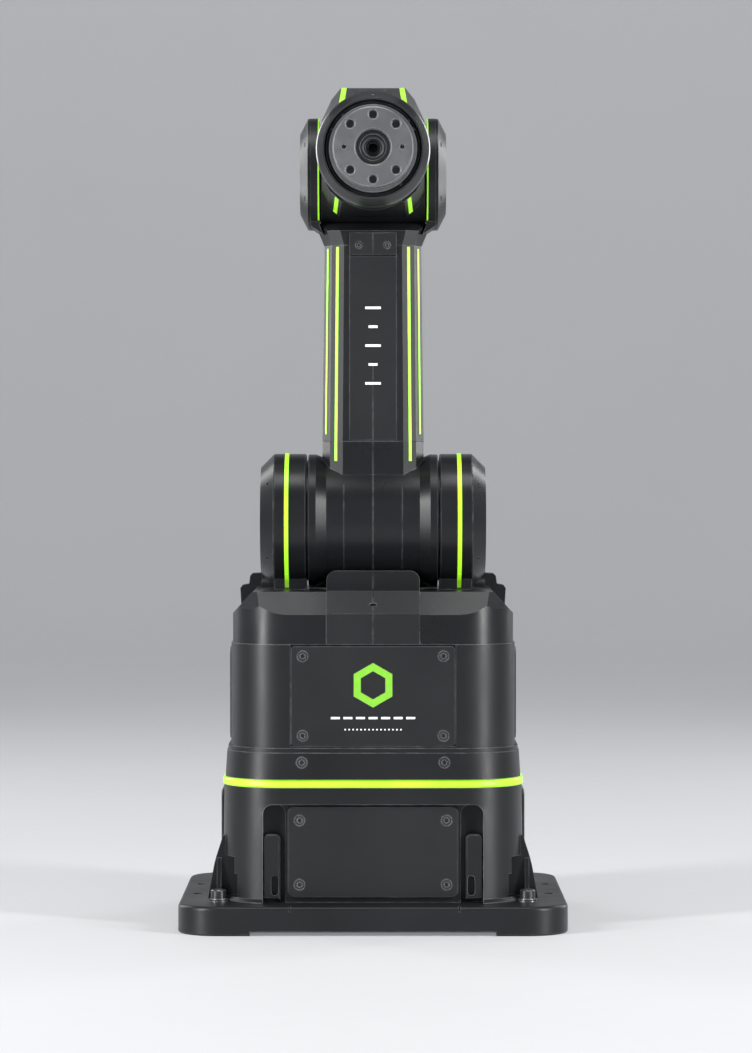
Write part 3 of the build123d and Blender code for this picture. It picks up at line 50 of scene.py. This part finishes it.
# ---- material building blocks -------------------------------------------------------------
class Nodes:
    """Small wrapper that keeps node-tree code short."""

    def __init__(self, name):
        self.material = bpy.data.materials.new(name)
        self.material.use_nodes = True
        self.tree = self.material.node_tree
        self.tree.nodes.clear()
        self.output = self.tree.nodes.new("ShaderNodeOutputMaterial")
        self.shader = self.tree.nodes.new("ShaderNodeBsdfPrincipled")
        self.link(self.shader.outputs["BSDF"], self.output.inputs["Surface"])
        self.coords = self.tree.nodes.new("ShaderNodeTexCoord")

    def link(self, a, b):
        self.tree.links.new(a, b)

    def set(self, **values):
        for key, value in values.items():
            self.shader.inputs[key.replace("_", " ")].default_value = value

    def noise(self, scale, detail=4.0, rough=0.5, stretch=(1, 1, 1)):
        mapping = self.tree.nodes.new("ShaderNodeMapping")
        mapping.inputs["Scale"].default_value = stretch
        self.link(self.coords.outputs["Object"], mapping.inputs["Vector"])
        noise = self.tree.nodes.new("ShaderNodeTexNoise")
        noise.inputs["Scale"].default_value = scale
        noise.inputs["Detail"].default_value = detail
        noise.inputs["Roughness"].default_value = rough
        self.link(mapping.outputs["Vector"], noise.inputs["Vector"])
        return noise.outputs["Fac"]

    def spread(self, value, low, high, from_low=0.0, from_high=1.0):
        """Map a value's range onto low..high."""
        node = self.tree.nodes.new("ShaderNodeMapRange")
        node.inputs["From Min"].default_value = from_low
        node.inputs["From Max"].default_value = from_high
        node.inputs["To Min"].default_value = low
        node.inputs["To Max"].default_value = high
        self.link(value, node.inputs["Value"])
        return node.outputs["Result"]

    def mix(self, factor, a, b):
        node = self.tree.nodes.new("ShaderNodeMix")
        node.data_type = "RGBA"
        for socket, value in ((node.inputs[6], a), (node.inputs[7], b)):
            if hasattr(value, "is_linked"):
                self.link(value, socket)
            else:
                socket.default_value = (*value, 1.0)
        self.link(factor, node.inputs[0])
        return node.outputs[2]

    def math(self, operation, a, b=None):
        node = self.tree.nodes.new("ShaderNodeMath")
        node.operation = operation
        for socket, value in zip(node.inputs, (a, b)):
            if value is None:
                continue
            if hasattr(value, "is_linked"):
                self.link(value, socket)
            else:
                socket.default_value = value
        return node.outputs["Value"]

    def edge_mask(self, radius, low=0.02, high=0.35):
        """One along sharp edges and zero on open faces."""
        bevel = self.tree.nodes.new("ShaderNodeBevel")
        bevel.samples = 4
        bevel.inputs["Radius"].default_value = radius
        geometry = self.tree.nodes.new("ShaderNodeNewGeometry")
        dot = self.tree.nodes.new("ShaderNodeVectorMath")
        dot.operation = "DOT_PRODUCT"
        self.link(bevel.outputs["Normal"], dot.inputs[0])
        self.link(geometry.outputs["Normal"], dot.inputs[1])
        away = self.math("SUBTRACT", 1.0, dot.outputs["Value"])
        return self.spread(away, 0.0, 1.0, low, high)

    def bump(self, height, strength, distance, normal=None):
        node = self.tree.nodes.new("ShaderNodeBump")
        node.inputs["Strength"].default_value = strength
        node.inputs["Distance"].default_value = distance
        self.link(height, node.inputs["Height"])
        if normal is not None:
            self.link(normal, node.inputs["Normal"])
        return node.outputs["Normal"]

    def color(self, socket):
        self.link(socket, self.shader.inputs["Base Color"])

    def roughness(self, socket):
        self.link(socket, self.shader.inputs["Roughness"])

    def normal(self, socket):
        self.link(socket, self.shader.inputs["Normal"])


# ---- materials ----------------------------------------------------------------------------
COAT_SPECULAR = 0.26                                     # keeps the black deep in a pale room
# colours mixed in along sharp edges: painted edge highlights
COAT_EDGE_HIGHLIGHT = (0.34, 0.35, 0.36)
GLOSS_EDGE_HIGHLIGHT = (0.16, 0.165, 0.17)
METAL_EDGE_HIGHLIGHT = (0.68, 0.69, 0.70)
EDGE_RADIUS_COAT, EDGE_RADIUS_METAL = 0.7 * MM, 0.5 * MM


def powder_coat(name, dark, light, rough_low, rough_high, grain=0.10):
    """Satin black coating: fine grain, faint smudges and edges painted lighter as a highlight, patchy like rubbed
    wear.
    """
    m = Nodes(name)
    cloud = m.noise(9.0, 5.0, 0.6)
    speck = m.noise(1500.0, 2.0, 0.6)
    body = m.mix(m.spread(cloud, 0.0, 1.0, 0.30, 0.70), dark, light)
    edge = m.edge_mask(EDGE_RADIUS_COAT)
    # painted highlight along the edges, broken up by noise like patchy wear
    edge_highlight_and_wear = m.math("MULTIPLY", edge, m.spread(m.noise(160.0, 3.0), 0.15, 0.55, 0.35, 0.65))
    m.color(m.mix(edge_highlight_and_wear, body, COAT_EDGE_HIGHLIGHT))
    smudge = m.spread(m.noise(26.0, 6.0, 0.65), rough_low, rough_high, 0.3, 0.7)
    m.roughness(m.math("ADD", smudge, m.math("MULTIPLY", m.spread(speck, -1.0, 1.0), 0.05)))
    fine = m.bump(speck, grain, 0.05 * MM)
    m.normal(m.bump(m.noise(420.0, 3.0, 0.5), grain * 0.6, 0.08 * MM, fine))
    m.set(Metallic=0.0, IOR=1.5)
    m.shader.inputs["Specular IOR Level"].default_value = COAT_SPECULAR
    return m.material


def gloss_black(name):
    """Half-gloss black ring with a thin clear coat."""
    m = Nodes(name)
    edge = m.edge_mask(EDGE_RADIUS_METAL, 0.03, 0.30)
    body = m.mix(m.noise(14.0, 4.0), (0.012, 0.013, 0.014), (0.024, 0.025, 0.027))
    # edges mixed toward a lighter grey: painted edge highlight
    m.color(m.mix(edge, body, GLOSS_EDGE_HIGHLIGHT))
    m.roughness(m.spread(m.noise(60.0, 5.0), 0.20, 0.30))
    m.normal(m.bump(m.noise(900.0, 2.0), 0.05, 0.03 * MM))
    m.set(Metallic=0.35)
    m.shader.inputs["Coat Weight"].default_value = 0.3
    m.shader.inputs["Coat Roughness"].default_value = 0.18
    return m.material


def anodised(name, dark, light, rough_low, rough_high):
    """Matte finished metal with fine blasted grain and painted highlights along its edges."""
    m = Nodes(name)
    body = m.mix(m.spread(m.noise(30.0, 5.0), 0.0, 1.0, 0.3, 0.7), dark, light)
    edge = m.edge_mask(EDGE_RADIUS_METAL, 0.03, 0.30)
    # edges mixed toward near white: painted edge highlight
    m.color(m.mix(edge, body, METAL_EDGE_HIGHLIGHT))
    m.roughness(m.spread(m.noise(240.0, 4.0), rough_low, rough_high, 0.3, 0.7))
    m.normal(m.bump(m.noise(2200.0, 2.0), 0.10, 0.03 * MM))
    m.set(Metallic=0.75)
    return m.material


def steel(name, dark, light, rough_low, rough_high):
    """Machined metal with a fine one-way grain."""
    m = Nodes(name)
    m.color(m.mix(m.noise(300.0, 4.0), dark, light))
    m.roughness(m.spread(m.noise(700.0, 3.0), rough_low, rough_high))
    m.normal(m.bump(m.noise(1600.0, 2.0, 0.6, (1, 1, 6)), 0.08, 0.03 * MM))
    m.set(Metallic=0.9)
    return m.material


def light_lens(name, strength):
    """Translucent green light pipe with a satin skin."""
    m = Nodes(name)
    glow = m.spread(m.noise(35.0, 3.0), 0.0, 1.0, 0.3, 0.7)
    green = m.mix(glow, (0.24, 0.60, 0.012), (0.34, 0.78, 0.020))
    m.color(green)
    m.link(green, m.shader.inputs["Emission Color"])
    m.shader.inputs["Emission Strength"].default_value = strength
    m.roughness(m.spread(m.noise(180.0, 4.0), 0.34, 0.48))
    m.normal(m.bump(m.noise(700.0, 2.0), 0.04, 0.03 * MM))
    m.shader.inputs["Coat Weight"].default_value = 0.12
    m.shader.inputs["Coat Roughness"].default_value = 0.20
    return m.material


def printed(name, dark, light, rough, glow=0.0):
    """Printed ink, slightly uneven, which may be given a little painted glow."""
    m = Nodes(name)
    ink = m.mix(m.noise(240.0, 5.0), dark, light)
    m.color(ink)
    # emission on ink that is no lamp: painted glow
    if glow:
        m.link(ink, m.shader.inputs["Emission Color"])
        m.shader.inputs["Emission Strength"].default_value = glow
    m.roughness(m.spread(m.noise(500.0, 4.0), rough - 0.06, rough + 0.06))
    m.normal(m.bump(m.noise(1500.0, 2.0), 0.05, 0.02 * MM))
    return m.material


def plastic(name, dark, light, rough, scale=700.0):
    """Moulded plastic with a fine spark-eroded texture."""
    m = Nodes(name)
    m.color(m.mix(m.noise(20.0, 4.0), dark, light))
    m.roughness(m.spread(m.noise(90.0, 5.0), rough - 0.07, rough + 0.07))
    m.normal(m.bump(m.noise(scale, 3.0, 0.6), 0.22, 0.06 * MM))
    return m.material


BLACK = powder_coat("satin_black_coat", (0.0055, 0.006, 0.0068), (0.010, 0.0105, 0.012), 0.33, 0.42)
BLACK_PANEL = powder_coat("panel_black_coat", (0.008, 0.0085, 0.0095), (0.013, 0.0137, 0.015),
                          0.38, 0.48)
BLACK_SMOOTH = powder_coat("drum_black_coat", (0.005, 0.0055, 0.0062), (0.009, 0.0095, 0.011),
                           0.26, 0.35, 0.05)
GLOSS = gloss_black("gloss_black_ring")
FLANGE = anodised("dark_anodised", (0.125, 0.129, 0.135), (0.165, 0.170, 0.177), 0.36, 0.48)
SCREW = anodised("blackened_steel", (0.035, 0.035, 0.038), (0.075, 0.075, 0.08), 0.24, 0.40)
MACHINED = steel("machined_steel", (0.30, 0.30, 0.31), (0.45, 0.45, 0.46), 0.25, 0.40)
LENS = light_lens("green_light_pipe", 0.75)
LENS_THIN = light_lens("green_light_thread", 0.60)
LENS_DIM = light_lens("green_light_edge", 0.10)
GREEN_INK = printed("green_print", (0.13, 0.37, 0.020), (0.18, 0.45, 0.030), 0.35, 0.12)
WHITE_INK = printed("white_print", (0.62, 0.62, 0.62), (0.80, 0.80, 0.80), 0.40)
PORT = plastic("port_plastic", (0.010, 0.010, 0.011), (0.018, 0.018, 0.019), 0.45)
BOARD = plastic("circuit_board", (0.015, 0.09, 0.035), (0.03, 0.15, 0.06), 0.40)

PANEL_NODES = {"base_front_cover", "base_side_covers", "base_rear_panel", "turret_front_panel",
               "turret_rear_cover", "turret_side_covers", "turret_tongue_cover", "arm_front_cover",
               "arm_rear_cover", "arm_clip_plates", "forearm_top_cover"}
SMOOTH_NODES = {"shoulder_barrel", "shoulder_drum_left", "shoulder_drum_right", "shoulder_end_caps",
                "elbow_end_caps", "turret_cap", "wrist_fork", "wrist_housing", "wrist_pivot_covers"}
SLOT_MATERIALS = {
    "black_cast_aluminium": BLACK, "dark_steel_fasteners": SCREW, "green_light_lens": LENS,
    "motor_steel": MACHINED, "gearbox_steel": MACHINED, "circuit_board": BOARD, "black_plastic": PORT,
    "green_print": GREEN_INK, "white_print": WHITE_INK, "gloss_black_ring": GLOSS,
    "dark_anodised_flange": FLANGE,
}


def node_material(node, slot):
    if node in PANEL_NODES:
        return BLACK_PANEL
    if node in SMOOTH_NODES:
        return BLACK_SMOOTH
    if node in ("arm_led_strips", "forearm_led_strips"):
        return LENS_THIN
    if node == "elbow_led_rings":
        return LENS_DIM
    return SLOT_MATERIALS[slot]


SOFT_EDGE_MM = {"base_plate": 0.5, "base_housing": 0.6, "turret_housing": 0.4, "turret_skirt": 0.4,
                "turret_cap": 0.9, "arm_shell": 0.5, "shoulder_barrel": 0.7, "forearm_head": 0.9,
                "elbow_yoke": 0.6, "shoulder_saddle": 0.7, "turret_rear_cheeks": 0.6}
FINE_EDGE_MM = 0.25
EDGE_ANGLE = math.radians(32)


def dress_cad_nodes():
    """Give each carried-over CAD node its material and softly broken edges."""
    for row in frame["record"]["subparts"]:
        node = row["node"]
        piece = NODES[node]
        piece.data.materials.clear()
        piece.data.materials.append(node_material(node, row["material_slot"]))
        for polygon in piece.data.polygons:
            polygon.use_smooth = True
        bevel = piece.modifiers.new("broken_edges", "BEVEL")
        bevel.width = SOFT_EDGE_MM.get(node, FINE_EDGE_MM) * MM
        bevel.segments = 2
        bevel.limit_method = "ANGLE"
        bevel.angle_limit = EDGE_ANGLE
        bevel.harden_normals = True
        bevel.use_clamp_overlap = True


dress_cad_nodes()


# ---- detail pieces ------------------------------------------------------------------------
def new_piece(name, mesh, material, body):
    """Turn a bmesh into a named piece that rides on a body."""
    data = bpy.data.meshes.new(name)
    bmesh.ops.recalc_face_normals(mesh, faces=mesh.faces)
    mesh.to_mesh(data)
    mesh.free()
    for polygon in data.polygons:
        polygon.use_smooth = True
    data.materials.append(material)
    piece = bpy.data.objects.new(name, data)
    bpy.context.scene.collection.objects.link(piece)
    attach(piece, body)
    return piece


def turned(mesh, profile, place, axis, steps=48):
    """Closed solid turned from an (along, radius) outline about an axis through a point."""
    turn = Vector((0, 0, 1)).rotation_difference(Vector(axis)).to_matrix().to_4x4()
    rings = []
    for n in range(steps):
        angle = 2 * math.pi * n / steps
        ring = []
        for along, radius in profile:
            local = Vector((radius * math.cos(angle), radius * math.sin(angle), along))
            ring.append(mesh.verts.new(Vector(place) + turn @ local))
        rings.append(ring)
    count = len(profile)
    for n in range(steps):
        here, after = rings[n], rings[(n + 1) % steps]
        for k in range(count):
            corner = (k + 1) % count
            mesh.faces.new((here[k], after[k], after[corner], here[corner]))


def soft_ring(inner, outer, low, high, edge):
    """Outline of a ring with rounded corners, for turned()."""
    cut = edge * 0.3
    return [(low + edge, inner), (high - edge, inner), (high - cut, inner + cut), (high, inner + edge),
            (high, outer - edge), (high - cut, outer - cut), (high - edge, outer), (low + edge, outer),
            (low + cut, outer - cut), (low, outer - edge), (low, inner + edge), (low + cut, inner + cut)]


def pin_outline(radius, length):
    """Outline of a pin with a domed tip; the hub radius is tiny so that the solid stays closed."""
    hub = radius * 0.04
    return [(0, hub), (0, radius), (length - radius, radius), (length - radius * 0.5, radius * 0.87),
            (length - radius * 0.13, radius * 0.5), (length, hub)]


def socket_middle(depth):
    """Point on the data socket's axis, a depth in from its mouth."""
    low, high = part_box("data_socket")
    return Vector(((low[0] + high[0]) / 2, high[1] - depth, (low[2] + high[2]) / 2))


def socket_contacts():
    """Five pins standing in the data socket."""
    count, circle, radius, length, floor_depth = 5, 3.4 * MM, 0.5 * MM, 7.5 * MM, 12.2 * MM
    centre = socket_middle(floor_depth)
    mesh = bmesh.new()
    for n in range(count):
        angle = math.radians(360 / count * n + 90)
        offset = Vector((circle * math.cos(angle), 0, circle * math.sin(angle)))
        turned(mesh, pin_outline(radius, length), centre + offset, (0, 1, 0), 20)
    new_piece("socket_contacts", mesh, CONTACT, "base")


def socket_ridges():
    """Fine ridges inside the data socket's mouth."""
    count, pitch, width, inner, outer, edge = 5, 1.15, 0.6 * MM, 5.72 * MM, 5.98 * MM, 0.1 * MM
    centre = socket_middle(6.0 * MM)
    mesh = bmesh.new()
    for n in range(count):
        along = (n * pitch) * MM
        turned(mesh, soft_ring(inner, outer, along, along + width, edge), centre, (0, 1, 0), 40)
    new_piece("socket_ridges", mesh, PORT, "base")


BORE_RINGS_MM = (
    (8.0, 10.75, 3.75, 3.99, 0.08),                      # thin dark ring laid on the pilot recess's floor: painted shade in the recess
    (6.4, 7.9, 5.2, 6.9, 0.25),
    (4.5, 5.7, 8.0, 15.0, 0.25),
    (2.9, 4.4, 10.5, 15.0, 0.25),
)


def bore_sleeve_and_shade():
    """Dark ring laid on the pilot bore's floor as painted shade, and the stepped sleeve in the hollow shaft behind
    it.
    """
    centre = (0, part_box("tool_flange")[0][1], FOREARM_Z)
    mesh = bmesh.new()
    for inner, outer, near, far, edge in BORE_RINGS_MM:
        outline = soft_ring(inner * MM, outer * MM, near * MM, far * MM, edge * MM)
        turned(mesh, outline, centre, (0, 1, 0), 56)
    new_piece("flange_bore_sleeve_and_shade", mesh, BORE_SLEEVE_AND_SHADE, "tool_flange")


def bezel_marks():
    """Fine raised marks on the dark annulus between the flange and the bezel's lip."""
    angles, circle, depth = (52, 205, 228, 322, 334), 27.9 * MM, 4.2 * MM
    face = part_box("wrist_bezel")[0][1]
    mesh = bmesh.new()
    for angle in angles:
        spot = Matrix.Rotation(math.radians(angle), 4, "Y") @ Vector((circle, 0, 0))
        centre = Vector((spot.x, face + depth, FOREARM_Z + spot.z))
        turned(mesh, soft_ring(0.35 * MM, 0.95 * MM, 0, 0.5 * MM, 0.12 * MM), centre, (0, -1, 0), 24)
    new_piece("bezel_marks", mesh, SCREW, "wrist_pitch")


def bezel_index():
    """Small index ring on the sloping top of the bezel."""
    height, depth, slope = 33.2 * MM, 2.1 * MM, (0, -0.62, 0.78)
    centre = (0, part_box("wrist_bezel")[0][1] + depth, FOREARM_Z + height)
    mesh = bmesh.new()
    turned(mesh, soft_ring(0.25 * MM, 0.7 * MM, -0.3 * MM, 0.25 * MM, 0.1 * MM), centre, slope, 24)
    new_piece("bezel_index", mesh, SCREW, "wrist_pitch")


CONTACT = steel("contact_metal", (0.55, 0.42, 0.16), (0.70, 0.55, 0.24), 0.18, 0.30)
# dark grey for the bore's sleeve and for the painted shade ring on the pilot floor
BORE_SLEEVE_AND_SHADE = anodised("bore_sleeve_and_shade_grey", (0.030, 0.031, 0.033), (0.055, 0.057, 0.060), 0.28, 0.42)
socket_contacts()
socket_ridges()
bore_sleeve_and_shade()
bezel_marks()
bezel_index()


# ---- stage, lights and camera -------------------------------------------------------------
CAMERA_HEIGHT, CAMERA_BACK = 0.302, 2.650
AIM = Vector((0.002, 0.0, 0.2638))
LENS_MM, SENSOR_MM = 134.2, 36.0
CLIP_END = 20.0


FLOOR_GLOW = 0.27                                        # lifts the wall where the lamps don't reach


def sweep_stage():
    """Pale round floor that curves up into a wall on every side."""
    flat, bend, height, around, arc, floor_rings = 3.6, 1.3, 4.2, 96, 14, 6
    profile = [(flat * n / floor_rings, 0.0) for n in range(1, floor_rings + 1)]
    for n in range(1, arc + 1):
        angle = math.pi / 2 * n / arc
        profile.append((flat + bend * math.sin(angle), bend - bend * math.cos(angle)))
    profile.append((flat + bend, height))
    mesh = bmesh.new()
    middle = mesh.verts.new((0, 0, 0))
    rings = []
    for radius, z in profile:
        angles = [2 * math.pi * n / around for n in range(around)]
        rings.append([mesh.verts.new((radius * math.cos(a), radius * math.sin(a), z)) for a in angles])
    for n in range(around):
        after = (n + 1) % around
        mesh.faces.new((middle, rings[0][n], rings[0][after]))
        for low, high in zip(rings, rings[1:]):
            mesh.faces.new((low[n], high[n], high[after], low[after]))
    data = bpy.data.meshes.new("studio_sweep")
    mesh.to_mesh(data)
    mesh.free()
    sweep = bpy.data.objects.new("studio_sweep", data)
    bpy.context.scene.collection.objects.link(sweep)
    for polygon in data.polygons:
        polygon.use_smooth = True
    m = Nodes("studio_floor")
    m.color(m.mix(m.noise(3.0, 3.0), (0.35, 0.354, 0.36), (0.38, 0.384, 0.39)))
    m.roughness(m.spread(m.noise(40.0, 3.0), 0.55, 0.66))
    m.shader.inputs["Emission Color"].default_value = (0.80, 0.82, 0.85, 1)
    m.shader.inputs["Emission Strength"].default_value = FLOOR_GLOW
    data.materials.append(m.material)


def area_light(name, place, aim, size, power):
    light = bpy.data.lights.new(name, "AREA")
    light.shape = "RECTANGLE"
    light.size, light.size_y = size
    light.energy = power
    lamp = bpy.data.objects.new(name, light)
    lamp.location = place
    lamp.rotation_euler = (Vector(aim) - Vector(place)).to_track_quat("-Z", "Y").to_euler()
    bpy.context.scene.collection.objects.link(lamp)


LAMPS = (                                                # name, place, aim, size, power
    ("strip_left", (-1.5, -1.1, 0.75), (0, 0, 0.32), (0.20, 1.5), 56),
    ("strip_right", (1.5, -1.1, 0.75), (0, 0, 0.32), (0.20, 1.5), 51),
    ("rim_left", (-1.4, 1.2, 0.9), (0, 0, 0.30), (0.4, 1.4), 14),
    ("rim_right", (1.4, 1.2, 0.9), (0, 0, 0.30), (0.4, 1.4), 14),
    ("top", (0, -0.5, 2.1), (0, 0, 0.3), (1.0, 0.7), 15),
    ("overhead", (0, 0, 3.8), (0, 0, 0), (3.0, 3.0), 13),
)
AIR_COLOUR, AIR_STRENGTH = (0.75, 0.77, 0.80, 1), 0.11


def studio_lights():
    for lamp in LAMPS:
        area_light(*lamp)
    world = bpy.data.worlds.new("studio_air")
    world.use_nodes = True
    background = world.node_tree.nodes["Background"]
    background.inputs["Color"].default_value = AIR_COLOUR
    background.inputs["Strength"].default_value = AIR_STRENGTH
    bpy.context.scene.world = world
    bpy.context.scene.view_settings.view_transform = "Standard"


def photo_camera():
    data = bpy.data.cameras.new("photo_camera")
    data.lens, data.sensor_width, data.sensor_height = LENS_MM, SENSOR_MM, SENSOR_MM
    data.sensor_fit = "AUTO"
    data.clip_end = CLIP_END
    camera = bpy.data.objects.new("photo_camera", data)
    camera.location = (0.0, -CAMERA_BACK, CAMERA_HEIGHT)
    camera.rotation_euler = (AIM - camera.location).to_track_quat("-Z", "Y").to_euler()
    bpy.context.scene.collection.objects.link(camera)
    bpy.context.scene.camera = camera


sweep_stage()
studio_lights()
photo_camera()
